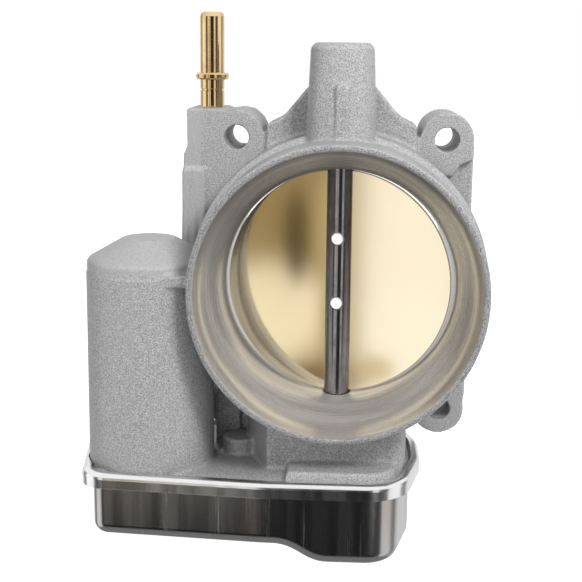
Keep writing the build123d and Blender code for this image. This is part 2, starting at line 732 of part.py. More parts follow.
with BuildPart() as sector_gear:
    with BuildSketch(level_at(0, SHAFT_Y, SECTOR_Z[0])):
        add(gear_face(SECTOR_TEETH, SECTOR_PHASE))
        add(pie(40, SECTOR_FROM, SECTOR_TO), mode=Mode.INTERSECT)
        Circle(9)
        Circle(GEAR_SEAT_R, mode=Mode.SUBTRACT)
    extrude(amount=SECTOR_Z[1] - SECTOR_Z[0])
    # A thinner web between the hub and the toothed rim, with one lightening window.
    with BuildSketch(level_at(0, SHAFT_Y, SECTOR_Z[0])):
        add(pie(22, SECTOR_FROM + 8, SECTOR_TO - 8))
        Circle(10.5, mode=Mode.SUBTRACT)
    extrude(amount=1.8, mode=Mode.SUBTRACT)
    with BuildSketch(level_at(0, SHAFT_Y, SECTOR_Z[0])):
        add(pie(19.5, MESH_ANGLE + 20, MESH_ANGLE + 55))
        Circle(13, mode=Mode.SUBTRACT)
    extrude(amount=10, mode=Mode.SUBTRACT)
finish(sector_gear.part, "sector_gear")

with BuildPart() as gear_nut:
    with BuildSketch(level_at(0, SHAFT_Y, SECTOR_Z[0] - 4)):
        RegularPolygon(radius=5.7, side_count=6)
        Circle(3.0, mode=Mode.SUBTRACT)
    extrude(amount=3)
    chamfer(gear_nut.faces().sort_by(Axis.Z)[0].outer_wire().edges(), length=0.4)
finish(gear_nut.part, "gear_nut")

with BuildPart() as gear_washer:
    with BuildSketch(level_at(0, SHAFT_Y, SECTOR_Z[0] - 1)):
        Circle(6.4)
        Circle(GEAR_SEAT_R, mode=Mode.SUBTRACT)
    extrude(amount=1)
finish(gear_washer.part, "gear_washer")

with BuildPart() as sensor_rotor:
    with BuildSketch(level_at(0, SHAFT_Y, -87.4)):
        Circle(11)
        Circle(2.5, mode=Mode.SUBTRACT)
    extrude(amount=1.4)
    with BuildSketch(level_at(0, SHAFT_Y, -87.4)):
        Circle(4.6)
        Circle(2.5, mode=Mode.SUBTRACT)
    extrude(amount=3.2)
    # Three contact fingers that reach down to the board's tracks.
    with BuildSketch(level_at(0, SHAFT_Y, SENSOR_BOARD_Z + 1.5)):
        with PolarLocations(7.5, 3):
            Rectangle(5, 1.2)
    extrude(amount=-87.4 - SENSOR_BOARD_Z - 1.5)
finish(sensor_rotor.part, "sensor_rotor")

# ---- Return spring: a torsion coil in the neck, anchored above and hooked to the gear below ----
SPRING_R = 10.6
SPRING_WIRE_R = 0.9
SPRING_TOP_Z = -59.1
SPRING_FOOT_Z = -70.4
with BuildPart() as return_spring:
    with BuildLine() as coil:
        Helix(
            pitch=(SPRING_TOP_Z - SPRING_FOOT_Z) / 4.25,
            height=SPRING_TOP_Z - SPRING_FOOT_Z,
            radius=SPRING_R,
            center=(0, SHAFT_Y, SPRING_FOOT_Z),
        )
    with BuildSketch(Plane(origin=coil.line @ 0, z_dir=coil.line % 0)):
        Circle(SPRING_WIRE_R)
    sweep()
    with BuildSketch(level_at(SPRING_R, SHAFT_Y + 0.3, SPRING_FOOT_Z - 1.5)):
        Circle(SPRING_WIRE_R - 0.05)
    extrude(amount=2)
    with BuildSketch(across(SHAFT_Y + SPRING_R - 0.6)):
        with Locations((SPRING_LEG_X, SPRING_TOP_Z)):
            Circle(SPRING_WIRE_R - 0.05)
    extrude(amount=-5.6)
finish(return_spring.part, "return_spring")

# ---- Intermediate gear and its axle ----
with BuildPart() as intermediate_gear:
    with BuildSketch(level_at(IDLER_X, IDLER_Y, LARGE_Z[0])):
        add(gear_face(LARGE_TEETH, LARGE_PHASE))
        Circle(PIN_R + RUNNING_GAP, mode=Mode.SUBTRACT)
    extrude(amount=LARGE_Z[1] - LARGE_Z[0])
    with BuildSketch(level_at(IDLER_X, IDLER_Y, LARGE_Z[0])):
        Circle(23)
        Circle(8, mode=Mode.SUBTRACT)
    extrude(amount=1.5, mode=Mode.SUBTRACT)
    with BuildSketch(level_at(IDLER_X, IDLER_Y, LARGE_Z[0])):
        with PolarLocations(16, 6):
            Circle(4)
    extrude(amount=10, mode=Mode.SUBTRACT)
    with BuildSketch(level_at(IDLER_X, IDLER_Y, SMALL_Z[0])):
        add(gear_face(SMALL_TEETH, TO_SHAFT))
        Circle(PIN_R + RUNNING_GAP, mode=Mode.SUBTRACT)
    extrude(amount=SMALL_Z[1] - SMALL_Z[0])
finish(intermediate_gear.part, "intermediate_gear")

with BuildPart() as intermediate_axle:
    with BuildSketch(level_at(IDLER_X, IDLER_Y, -88.2)):
        Circle(PIN_R)
    extrude(amount=-62.2 + 88.2)
    chamfer(intermediate_axle.edges().filter_by(GeomType.CIRCLE), length=0.4)
finish(intermediate_axle.part, "intermediate_axle")

# ---- Motor ----
with BuildPart() as motor_can:
    with BuildSketch(around_motor(CAN_BOTTOM_Z)):
        Circle(CAN_R)
    extrude(amount=CAN_TOP_Z - CAN_BOTTOM_Z)
    fillet(motor_can.faces().sort_by(Axis.Z)[-1].edges(), radius=1.5)
    with BuildSketch(around_motor(CAN_TOP_Z)):
        Circle(BUSH_R + 1)
    extrude(amount=3.2)
    with BuildSketch(around_motor(CAN_BOTTOM_Z)):
        Circle(CAN_R - CAN_WALL)
    extrude(amount=CAN_TOP_Z - CAN_WALL - CAN_BOTTOM_Z, mode=Mode.SUBTRACT)
    with BuildSketch(around_motor(-12)):
        Circle(BUSH_R)
    extrude(amount=6.6, mode=Mode.SUBTRACT)
    with BuildSketch(around_motor(-12)):
        Circle(MOTOR_SHAFT_R + 0.6)
    extrude(amount=10, mode=Mode.SUBTRACT)
finish(motor_can.part, "motor_can")

with BuildPart() as motor_washer:
    with BuildSketch(around_motor(CAN_TOP_Z)):
        Circle(12)
        Circle(8, mode=Mode.SUBTRACT)
    extrude(amount=0.3)
    with BuildSketch(around_motor(CAN_TOP_Z)):
        with PolarLocations(10, 3):
            Rectangle(3.6, 2.4)
    extrude(amount=0.95)
finish(motor_washer.part, "motor_washer")

with BuildPart() as motor_magnets:
    with BuildSketch(around_motor(-54)):
        Circle(CAN_R - CAN_WALL)
        Circle(13.6, mode=Mode.SUBTRACT)
        Rectangle(9, 40, mode=Mode.SUBTRACT)
    extrude(amount=42)
finish(motor_magnets.part, "motor_magnets")

with BuildPart() as motor_end_plate:
    with BuildSketch(around_motor(-71.4)):
        Circle(CAN_R + 0.1)
        for lug_angle in LUG_ANGLES:
            with PolarLocations(LUG_R, 1, start_angle=lug_angle):
                Circle(3.2)
    extrude(amount=CAN_BOTTOM_Z + 71.4)
    with BuildSketch(around_motor(CAN_BOTTOM_Z)):
        Circle(CAN_R - CAN_WALL)
    extrude(amount=5)
    with BuildSketch(around_motor(-64)):
        with Locations((-10, 0), (10, 0)):
            Rectangle(8.5, 6.5)
    extrude(amount=9)
    with BuildSketch(around_motor(-72)):
        Circle(MOTOR_SHAFT_R + 0.6)
        for lug_angle in LUG_ANGLES:
            with PolarLocations(LUG_R, 1, start_angle=lug_angle):
                Circle(1.35)
    extrude(amount=20, mode=Mode.SUBTRACT)
    with BuildSketch(around_motor(-68.6)):
        Circle(BUSH_R)
    extrude(amount=20, mode=Mode.SUBTRACT)
    with BuildSketch(around_motor(-61)):
        Rectangle(40, 4)
    extrude(amount=4.6, mode=Mode.SUBTRACT)
finish(motor_end_plate.part, "motor_end_plate")

with BuildPart() as motor_brushes:
    with BuildSketch(around_motor(-60.9)):
        with Locations((-9.1, 0), (9.1, 0)):
            Rectangle(7.6, 3.8)
    extrude(amount=4.4)
finish(motor_brushes.part, "motor_brushes")

with BuildPart() as motor_bushes:
    for foot, height in ((-68.6, 4.4), (-9.2, 3.7)):
        with BuildSketch(around_motor(foot)):
            Circle(BUSH_R)
            Circle(MOTOR_SHAFT_R + RUNNING_GAP, mode=Mode.SUBTRACT)
        extrude(amount=height)
finish(motor_bushes.part, "motor_bushes")

with BuildPart() as motor_screws:
    for lug_angle in LUG_ANGLES:
        lug_x = MOTOR_X + LUG_R * math.cos(math.radians(lug_angle))
        lug_y = MOTOR_Y + LUG_R * math.sin(math.radians(lug_angle))
        with BuildSketch(level_at(lug_x, lug_y, -73.0)):
            Circle(2.3)
        extrude(amount=1.6)
        with BuildSketch(level_at(lug_x, lug_y, -71.4)):
            Circle(LUG_SCREW_R)
        extrude(amount=9)
        with BuildSketch(level_at(lug_x, lug_y, -73.0)):
            Rectangle(2.4, 0.6)
            Rectangle(0.6, 2.4)
        extrude(amount=0.9, mode=Mode.SUBTRACT)
finish(motor_screws.part, "motor_screws")

with BuildPart() as motor_shaft:
    with BuildSketch(around_motor(-87.0)):
        Circle(MOTOR_SHAFT_R)
    extrude(amount=81.2)
    chamfer(motor_shaft.edges().filter_by(GeomType.CIRCLE), length=0.3)
finish(motor_shaft.part, "motor_shaft")

with BuildPart() as motor_pinion:
    with BuildSketch(around_motor(PINION_Z[0])):
        add(gear_face(PINION_TEETH, TO_IDLER))
        Circle(MOTOR_SHAFT_R, mode=Mode.SUBTRACT)
    extrude(amount=PINION_Z[1] - PINION_Z[0])
finish(motor_pinion.part, "motor_pinion")

ARMATURE_R = 13.0
SLOT_COUNT = 8
with BuildPart() as armature_core:
    with BuildSketch(around_motor(-50)):
        Circle(ARMATURE_R)
        Circle(MOTOR_SHAFT_R, mode=Mode.SUBTRACT)
        with PolarLocations(9, SLOT_COUNT):
            SlotOverall(5.4, 3.2, mode=Mode.SUBTRACT)
        with PolarLocations(12, SLOT_COUNT):
            Rectangle(3, 1.0, mode=Mode.SUBTRACT)
    extrude(amount=30)
finish(armature_core.part, "armature_core")

with BuildPart() as armature_windings:
    for foot in (-52.6, -20.0):
        with BuildSketch(around_motor(foot)):
            Circle(12.2)
            Circle(5.4, mode=Mode.SUBTRACT)
        extrude(amount=2.6)
    with BuildSketch(around_motor(-50.2)):
        with PolarLocations(9, SLOT_COUNT):
            SlotOverall(5.2, 3.0)
    extrude(amount=30.4)
finish(armature_windings.part, "armature_windings")

with BuildPart() as commutator:
    with BuildSketch(around_motor(-61.4)):
        Circle(5.2)
        Circle(MOTOR_SHAFT_R, mode=Mode.SUBTRACT)
        with PolarLocations(5.2, SLOT_COUNT, start_angle=180 / SLOT_COUNT):
            Rectangle(0.8, 0.4, mode=Mode.SUBTRACT)
    extrude(amount=8)
finish(commutator.part, "commutator")

# ---- Stop screw ----
with BuildPart() as stop_screw:
    with BuildSketch(Plane(origin=(STOP_TIP_X, STOP_Y, STOP_Z), x_dir=(0, 1, 0), z_dir=(1, 0, 0))):
        Circle(2.0)
    extrude(amount=13)
    with BuildSketch(Plane(origin=(STOP_TIP_X + 13, STOP_Y, STOP_Z), x_dir=(0, 1, 0), z_dir=(1, 0, 0))):
        RegularPolygon(radius=1.15, side_count=6)
    extrude(amount=-2, mode=Mode.SUBTRACT)
finish(stop_screw.part, "stop_screw")

# ---- Position sensor board ----
with BuildPart() as sensor_board:
    with BuildSketch(level(SENSOR_BOARD_Z)) as board_plan:
        with BuildLine():
            Polyline(*SENSOR_OUTLINE, close=True)
        make_face()
        fillet(board_plan.vertices(), radius=1.5)
        with Locations((0, SHAFT_Y)):
            Circle(3.2, mode=Mode.SUBTRACT)
        with Locations(*SENSOR_POSTS):
            Circle(1.2, mode=Mode.SUBTRACT)
    extrude(amount=SENSOR_BOARD_T)
finish(sensor_board.part, "sensor_board")

with BuildPart() as sensor_screws:
    for post in SENSOR_POSTS:
        with BuildSketch(level_at(*post, SENSOR_BOARD_Z + SENSOR_BOARD_T)):
            Circle(2.1)
        extrude(amount=1.3)
        with BuildSketch(level_at(*post, SENSOR_BOARD_Z + SENSOR_BOARD_T)):
            Circle(1.0)
        extrude(amount=-5.4)
        with BuildSketch(level_at(*post, SENSOR_BOARD_Z + SENSOR_BOARD_T + 0.6)):
            Rectangle(2.2, 0.5)
            Rectangle(0.5, 2.2)
        extrude(amount=2, mode=Mode.SUBTRACT)
finish(sensor_screws.part, "sensor_screws")

# ---- Connector: a socket that faces the engine, its seal, terminals and screws ----
SEAL_T = 0.8
SOCKET_FLANGE_T = 2.5
SOCKET_Y = WALL_Y + SEAL_T + SOCKET_FLANGE_T


def connector_plane(y):
    """A sketch plane square to the connector's axis, facing the engine."""
    return facing_engine(CONNECTOR_X, y, CONNECTOR_Z)


with BuildPart() as connector_body:
    with BuildSketch(connector_plane(WALL_Y + SEAL_T)):
        RectangleRounded(38, 13.2, 3)
    extrude(amount=SOCKET_FLANGE_T)
    with BuildSketch(connector_plane(SOCKET_Y)):
        RectangleRounded(27, 12.4, 3)
        with Locations((0, 6.4)):
            Rectangle(7, 2.2)
    extrude(amount=15.5)
    with BuildSketch(connector_plane(SOCKET_Y + 1.5)):
        RectangleRounded(24, 9.4, 2)
    extrude(amount=20, mode=Mode.SUBTRACT)
    with BuildSketch(connector_plane(-14)):
        RectangleRounded(PLUG_W, PLUG_H, 1.8)
    extrude(amount=WALL_Y + SEAL_T + 14)
    with BuildSketch(connector_plane(-20)):
        with GridLocations(*TERMINAL_PITCH, 3, 2):
            Rectangle(*TERMINAL_SIZE)
        with Locations((-CONNECTOR_SCREW_X, 0), (CONNECTOR_SCREW_X, 0)):
            Circle(1.5)
    extrude(amount=30, mode=Mode.SUBTRACT)
    mouth = connector_body.faces().sort_by(Axis.Y)[-1].edges()
    chamfer(mouth, length=0.35)
finish(connector_body.part, "connector_body")

with BuildPart() as connector_seal:
    with BuildSketch(connector_plane(WALL_Y)):
        RectangleRounded(28, 12.6, 3)
        RectangleRounded(PLUG_W + 0.4, PLUG_H + 0.4, 2, mode=Mode.SUBTRACT)
    extrude(amount=SEAL_T)
finish(connector_seal.part, "connector_seal")

with BuildPart() as connector_terminals:
    with BuildSketch(connector_plane(-16)):
        with GridLocations(*TERMINAL_PITCH, 3, 2):
            Rectangle(*TERMINAL_SIZE)
    extrude(amount=23)
finish(connector_terminals.part, "connector_terminals")

with BuildPart() as connector_screws:
    for side in (-1, 1):
        screw_x = CONNECTOR_X + side * CONNECTOR_SCREW_X
        with BuildSketch(facing_engine(screw_x, SOCKET_Y, CONNECTOR_Z)):
            Circle(2.5)
        extrude(amount=1.8)
        with BuildSketch(facing_engine(screw_x, SOCKET_Y, CONNECTOR_Z)):
            Circle(1.25)
        extrude(amount=-5.8)
        with BuildSketch(facing_engine(screw_x, SOCKET_Y + 1, CONNECTOR_Z)):
            Rectangle(2.8, 0.6)
            Rectangle(0.6, 2.8)
        extrude(amount=2, mode=Mode.SUBTRACT)
finish(connector_screws.part, "connector_screws")


# ---- Wires inside the gear case ----
def wire(points, radius):
    """A round wire in straight runs with rounded elbows."""
    with BuildPart() as strand:
        for start, end in zip(points, points[1:]):
            run = Vector(*end) - Vector(*start)
            with BuildSketch(Plane(origin=start, z_dir=run)):
                Circle(radius)
            extrude(amount=run.length)
        with Locations(*points[1:-1]):
            Sphere(radius)
    return strand.part


TERMINAL_REAR_Y = -16.8
MOTOR_LEAD_R = 0.6
SENSOR_LEAD_R = 0.45
UPPER_ROW_Z = CONNECTOR_Z + TERMINAL_PITCH[1] / 2
LOWER_ROW_Z = CONNECTOR_Z - TERMINAL_PITCH[1] / 2

with BuildPart() as motor_leads:
    for side in (-1, 1):
        start_x = MOTOR_X + 3 * side
        end_x = CONNECTOR_X + TERMINAL_PITCH[0] * side
        route = [
            (start_x, -35, -72.0),
            (start_x, -30, -75.0),
            (end_x, -20, UPPER_ROW_Z),
            (end_x, TERMINAL_REAR_Y, UPPER_ROW_Z),
        ]
        add(wire(route, MOTOR_LEAD_R))
finish(motor_leads.part, "motor_leads")

# Each lead: its x on the board, its lane along the rear wall, where it rises and where it ends.
SENSOR_LEADS = [
    (1, (-12.6, -87.6), -63.0, (-63.0, LOWER_ROW_Z)),
    (3, (-12.6, -86.4), -66.5, (-70.0, UPPER_ROW_Z)),
    (5, (-11.4, -87.6), -70.0, (-70.0, LOWER_ROW_Z)),
    (7, (-11.4, -86.4), -77.0, (-77.0, LOWER_ROW_Z)),
]
with BuildPart() as sensor_leads:
    for start_x, (lane_y, lane_z), rise_x, (end_x, end_z) in SENSOR_LEADS:
        route = [
            (start_x, -28.5, SENSOR_BOARD_Z + SENSOR_BOARD_T + 0.5),
            (start_x, lane_y, lane_z),
            (rise_x, lane_y, lane_z),
            (rise_x, -16.5, lane_z),
            (rise_x, -18.6, end_z),
            (end_x, TERMINAL_REAR_Y, end_z),
        ]
        add(wire(route, SENSOR_LEAD_R))
finish(sensor_leads.part, "sensor_leads")
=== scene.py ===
"""The looks of an electronic throttle body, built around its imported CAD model."""

import json
import math

import bpy
import numpy as np
from mathutils import Matrix, Vector
from mathutils.bvhtree import BVHTree


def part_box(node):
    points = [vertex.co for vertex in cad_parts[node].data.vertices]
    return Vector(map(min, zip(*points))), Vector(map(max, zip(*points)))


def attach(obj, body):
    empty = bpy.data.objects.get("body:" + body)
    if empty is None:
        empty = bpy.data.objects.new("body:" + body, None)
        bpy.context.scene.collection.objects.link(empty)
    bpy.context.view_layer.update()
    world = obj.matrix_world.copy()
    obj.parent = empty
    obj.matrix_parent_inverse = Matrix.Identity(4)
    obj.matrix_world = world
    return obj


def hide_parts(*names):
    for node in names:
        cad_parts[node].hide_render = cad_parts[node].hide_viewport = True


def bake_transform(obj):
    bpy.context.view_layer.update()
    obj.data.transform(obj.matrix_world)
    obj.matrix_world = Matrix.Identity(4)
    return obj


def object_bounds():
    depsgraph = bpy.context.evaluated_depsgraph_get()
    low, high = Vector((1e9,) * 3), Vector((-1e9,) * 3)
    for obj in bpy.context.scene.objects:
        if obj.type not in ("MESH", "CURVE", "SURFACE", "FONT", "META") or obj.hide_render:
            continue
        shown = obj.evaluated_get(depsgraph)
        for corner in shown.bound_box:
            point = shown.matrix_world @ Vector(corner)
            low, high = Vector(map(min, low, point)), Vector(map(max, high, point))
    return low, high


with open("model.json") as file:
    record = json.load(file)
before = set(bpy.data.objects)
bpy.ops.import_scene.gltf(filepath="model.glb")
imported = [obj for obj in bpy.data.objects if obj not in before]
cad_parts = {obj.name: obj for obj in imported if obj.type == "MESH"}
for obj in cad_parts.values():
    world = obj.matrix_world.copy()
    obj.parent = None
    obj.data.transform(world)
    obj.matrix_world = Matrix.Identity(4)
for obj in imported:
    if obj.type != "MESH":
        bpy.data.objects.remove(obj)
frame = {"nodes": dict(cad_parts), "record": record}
cad_low, cad_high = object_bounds()
nodes = frame["nodes"]

MM = 0.001

# ---- Places, from the frame ----
SHAFT_LOW, SHAFT_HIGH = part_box("throttle_shaft")
SHAFT_X = (SHAFT_LOW.x + SHAFT_HIGH.x) / 2
SHAFT_Y = (SHAFT_LOW.y + SHAFT_HIGH.y) / 2
CAN_LOW, CAN_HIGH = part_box("motor_can")
MOTOR_X = (CAN_LOW.x + CAN_HIGH.x) / 2
MOTOR_Y = (CAN_LOW.y + CAN_HIGH.y) / 2
INLET_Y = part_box("throttle_housing")[0].y
COVER_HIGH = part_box("gear_cover")[1]
FLOOR_Z = cad_low.z

# The casting's machined surfaces lie inside this distance from the bore's axis.
BORE_EDGE_R = 49.45 * MM
MOTOR_CASE_R = 23.5 * MM
MOTOR_CAP_FOOT_Z = 4.0 * MM
COVER_RIM_DEPTH = 5.2 * MM
BOARD_TRACKS_R = 11.2 * MM


# ---- Node trees written as calls ----
class Graph:
    """A node tree. Every value is a number, a colour or another node's socket."""

    def __init__(self, tree):
        self.tree = tree
        self.tree.nodes.clear()

    def plug(self, socket, value):
        if isinstance(value, bpy.types.NodeSocket):
            self.tree.links.new(value, socket)
        else:
            socket.default_value = value

    def node(self, kind, inputs, **settings):
        made = self.tree.nodes.new(kind)
        for name, value in settings.items():
            setattr(made, name, value)
        for key, value in inputs.items():
            self.plug(made.inputs[key], value)
        return made

    def math(self, operation, a, b=0.0):
        return self.node("ShaderNodeMath", {0: a, 1: b}, operation=operation).outputs[0]

    def multiply(self, *values):
        product = values[0]
        for value in values[1:]:
            product = self.math("MULTIPLY", product, value)
        return product

    def invert(self, value):
        return self.math("SUBTRACT", 1.0, value)

    def place(self):
        return self.node("ShaderNodeTexCoord", {}).outputs["Object"]

    def split(self, vector):
        return tuple(self.node("ShaderNodeSeparateXYZ", {0: vector}).outputs)

    def join(self, x, y, z):
        return self.node("ShaderNodeCombineXYZ", {0: x, 1: y, 2: z}).outputs[0]

    def distance(self, a, b):
        """Length of the two-part vector a, b."""
        squares = self.math("ADD", self.math("MULTIPLY", a, a), self.math("MULTIPLY", b, b))
        return self.math("SQRT", squares)

    def step(self, value, start, end, low=0.0, high=1.0):
        """Goes smoothly from low at start to high at end."""
        inputs = {0: value, 1: start, 2: end, 3: low, 4: high}
        return self.node("ShaderNodeMapRange", inputs, interpolation_type="SMOOTHSTEP").outputs[0]

    def ramp(self, value, stops):
        """A colour ramp. Each stop is a position from 0 to 1 and a colour."""
        made = self.node("ShaderNodeValToRGB", {0: value})
        elements = made.color_ramp.elements
        elements[1].position = stops[-1][0]
        elements[1].color = rgba(stops[-1][1])
        elements[0].position = stops[0][0]
        elements[0].color = rgba(stops[0][1])
        for position, colour in stops[1:-1]:
            elements.new(position).color = rgba(colour)
        return made.outputs[0]

    def mix(self, factor, a, b, blend="MIX"):
        inputs = {0: factor, 6: rgba(a), 7: rgba(b)}
        return self.node("ShaderNodeMix", inputs, data_type="RGBA", blend_type=blend).outputs[2]

    def noise(self, place, scale, detail=2.0, rough=0.5):
        inputs = {"Vector": place, "Scale": scale, "Detail": detail, "Roughness": rough}
        return self.node("ShaderNodeTexNoise", inputs).outputs[0]

    def cells(self, place, scale):
        inputs = {"Vector": place, "Scale": scale}
        return self.node("ShaderNodeTexVoronoi", inputs).outputs["Distance"]

    def stretch(self, place, factors):
        return self.node("ShaderNodeMapping", {"Vector": place, "Scale": factors}).outputs[0]

    def bump(self, height, depth, under=None):
        """Relief of this depth in metres, on the mesh's own normal or on the one given."""
        inputs = {"Height": height, "Distance": depth, "Strength": 1.0}
        if under is not None:
            inputs["Normal"] = under
        return self.node("ShaderNodeBump", inputs).outputs[0]

    def surface(self, **inputs):
        named = {name.replace("_", " "): value for name, value in inputs.items()}
        shader = self.node("ShaderNodeBsdfPrincipled", named)
        self.node("ShaderNodeOutputMaterial", {"Surface": shader.outputs[0]})


def rgba(colour):
    """A colour with its alpha, or the socket unchanged."""
    if isinstance(colour, bpy.types.NodeSocket):
        return colour
    if isinstance(colour, (int, float)):
        return (colour, colour, colour, 1.0)
    return (*colour, 1.0)


def new_material(name):
    material = bpy.data.materials.new(name)
    material.use_nodes = True
    return material, Graph(material.node_tree)


# ---- Materials, one function each ----
def cast_alloy():
    """Sand-grained casting with a turned bore, a rough lip face and a smoother motor cap."""
    material, g = new_material("cast_alloy")
    place = g.place()
    x, y, z = g.split(place)
    from_bore = g.distance(x, z)
    turned = g.step(from_bore, BORE_EDGE_R + 0.1 * MM, BORE_EDGE_R)
    milled = g.step(y, -0.35 * MM, -0.25 * MM)
    machined = g.math("MAXIMUM", turned, milled)
    lip = g.multiply(g.step(y, INLET_Y + 0.7 * MM, INLET_Y + 0.3 * MM), g.invert(turned))
    from_motor = g.distance(g.math("SUBTRACT", x, MOTOR_X), g.math("SUBTRACT", y, MOTOR_Y))
    on_motor = g.step(from_motor, MOTOR_CASE_R + 0.5 * MM, MOTOR_CASE_R)
    cap = g.multiply(on_motor, g.step(z, MOTOR_CAP_FOOT_Z, MOTOR_CAP_FOOT_Z + 3 * MM))

    grain = g.noise(place, 2300.0, 3.0, 0.65)
    coarse = g.noise(place, 650.0, 3.0, 0.55)
    clouds = g.noise(place, 38.0, 3.0, 0.5)
    pits = g.step(g.cells(place, 260.0), 0.10, 0.02)
    speckle = g.step(grain, 0.36, 0.66)
    cast_colour = g.mix(speckle, (0.22, 0.22, 0.222), (0.49, 0.49, 0.493))
    cast_colour = g.mix(g.step(clouds, 0.35, 0.68, 0.0, 0.18), cast_colour, (0.34, 0.34, 0.345))
    cast_colour = g.mix(g.multiply(pits, 0.22), cast_colour, (0.25, 0.25, 0.25))
    cast_colour = g.mix(g.multiply(cap, 0.55), cast_colour, (0.40, 0.40, 0.405))
    lip_colour = g.mix(g.step(grain, 0.36, 0.62), (0.04, 0.04, 0.04), (0.40, 0.40, 0.40))
    cast_colour = g.mix(g.multiply(lip, 0.9), cast_colour, lip_colour)

    rings = g.noise(g.join(from_bore, g.multiply(y, 6.0), 0.0), 1400.0, 2.0, 0.6)
    arcs = g.noise(g.stretch(place, (1.0, 9.0, 1.0)), 24.0, 2.0, 0.5)
    bore_colour = g.mix(g.step(arcs, 0.35, 0.65), (0.46, 0.44, 0.42), (0.60, 0.575, 0.545))
    colour = g.mix(machined, cast_colour, bore_colour)

    cast_rough = g.step(coarse, 0.3, 0.7, 0.42, 0.56)
    rough = g.node(
        "ShaderNodeMapRange", {0: machined, 3: cast_rough, 4: g.step(rings, 0.3, 0.7, 0.24, 0.32)}
    ).outputs[0]
    relief = g.math("ADD", g.multiply(grain, 0.55), g.multiply(coarse, 0.80))
    relief = g.math("SUBTRACT", relief, g.multiply(pits, 0.25))
    softness = g.math("SUBTRACT", 1.0, g.multiply(cap, 0.55))
    cast_height = g.multiply(relief, softness, g.math("ADD", 1.0, g.multiply(lip, 0.6)))
    height = g.multiply(cast_height, g.invert(machined))
    height = g.math("ADD", height, g.multiply(rings, machined, 0.02))
    g.surface(
        Base_Color=colour,
        Metallic=g.step(machined, 0.0, 1.0, 0.40, 0.72),
        Roughness=rough,
        Normal=g.bump(height, 0.16 * MM),
    )
    return material


def drawn_steel():
    """Deep-drawn sheet: a rim painted brighter and a wall painted darker, a painted highlight and
    painted shade on one sheet, with draw lines and faint brown tints.
    """
    material, g = new_material("drawn_steel")
    place = g.place()
    z = g.split(place)[2]
    rim_foot_z = COVER_HIGH.z - COVER_RIM_DEPTH
    wall = g.step(z, rim_foot_z, rim_foot_z - 0.8 * MM)
    lines = g.noise(g.stretch(place, (1.0, 1.0, 0.012)), 900.0, 4.0, 0.7)
    broad = g.noise(g.stretch(place, (1.0, 1.0, 0.03)), 170.0, 3.0, 0.6)
    tints = g.noise(g.stretch(place, (1.0, 1.0, 0.35)), 48.0, 2.0, 0.5)
    streak = g.multiply(g.step(lines, 0.60, 0.74), g.step(broad, 0.42, 0.62), wall)
    tinted = g.mix(g.step(tints, 0.50, 0.70), (0.60, 0.60, 0.60), (0.56, 0.51, 0.47))
    # Painted shade: the wall's colour is darkened towards 0.20, though rim and wall are one sheet.
    tinted_wall_with_painted_shade = g.mix(0.30, tinted, (0.20, 0.19, 0.19))
    # Painted highlight: the rim gets a lighter colour, 0.82, than the wall of the same sheet.
    colour = g.mix(wall, (0.82, 0.82, 0.82), tinted_wall_with_painted_shade)
    colour = g.mix(g.multiply(streak, 0.7), colour, (0.95, 0.92, 0.88))
    rough = g.math("ADD", g.step(broad, 0.35, 0.7, 0.16, 0.26), g.multiply(streak, 0.30))
    fine = g.noise(place, 700.0, 2.0, 0.5)
    height = g.math("ADD", g.multiply(lines, wall, 0.9), g.multiply(fine, 0.08))
    g.surface(
        Base_Color=colour,
        Metallic=1.0,
        Roughness=rough,
        Normal=g.bump(height, 0.03 * MM),
    )
    return material


def polished_brass():
    """Turned and polished brass, with faint rings and a little tarnish."""
    material, g = new_material("brass")
    place = g.place()
    rings = g.noise(g.stretch(place, (0.05, 0.05, 1.0)), 2600.0, 2.0, 0.6)
    stain = g.noise(place, 140.0, 4.0, 0.6)
    colour = g.mix(g.step(stain, 0.40, 0.72), (0.83, 0.62, 0.33), (0.70, 0.46, 0.22))
    g.surface(
        Base_Color=colour,
        Metallic=1.0,
        Roughness=g.step(stain, 0.35, 0.75, 0.10, 0.20),
        Normal=g.bump(rings, 0.006 * MM),
    )
    return material


def plate_brass():
    """Polished pale sheet with a fine rolled grain."""
    material, g = new_material("plate_brass")
    place = g.place()
    grain = g.noise(g.stretch(place, (1.0, 1.0, 0.04)), 1500.0, 2.0, 0.6)
    haze = g.noise(place, 25.0, 2.0, 0.5)
    flat = g.node("ShaderNodeNewGeometry", {}).outputs["True Normal"]
    colour = g.mix(g.step(haze, 0.30, 0.75), (0.93, 0.83, 0.62), (0.91, 0.80, 0.58))
    g.surface(
        Base_Color=colour,
        Metallic=1.0,
        Roughness=g.step(haze, 0.35, 0.70, 0.06, 0.08),
        Normal=g.bump(grain, 0.0004 * MM, flat),
    )
    return material


def ground_steel(name, colour, rough, depth=0.004):
    """A ground bar: fine rings round its axis and slight blotches."""
    material, g = new_material(name)
    place = g.place()
    rings = g.noise(g.stretch(place, (0.06, 0.06, 1.0)), 3000.0, 2.0, 0.6)
    blotch = g.noise(place, 180.0, 3.0, 0.6)
    darker = tuple(0.78 * part for part in colour)
    g.surface(
        Base_Color=g.mix(g.step(blotch, 0.38, 0.70), colour, darker),
        Metallic=1.0,
        Roughness=g.step(blotch, 0.30, 0.75, rough, rough + 0.10),
        Normal=g.bump(rings, depth * MM),
    )
    return material


def zinc_plated():
    """A plated screw: bright and satin, with slight stains."""
    material, g = new_material("screw_steel")
    stain = g.noise(g.place(), 900.0, 3.0, 0.6)
    g.surface(
        Base_Color=g.mix(g.step(stain, 0.40, 0.70), (0.95, 0.94, 0.92), (0.78, 0.76, 0.73)),
        Metallic=0.35,
        Roughness=0.42,
        Normal=g.bump(stain, 0.02 * MM),
    )
    return material


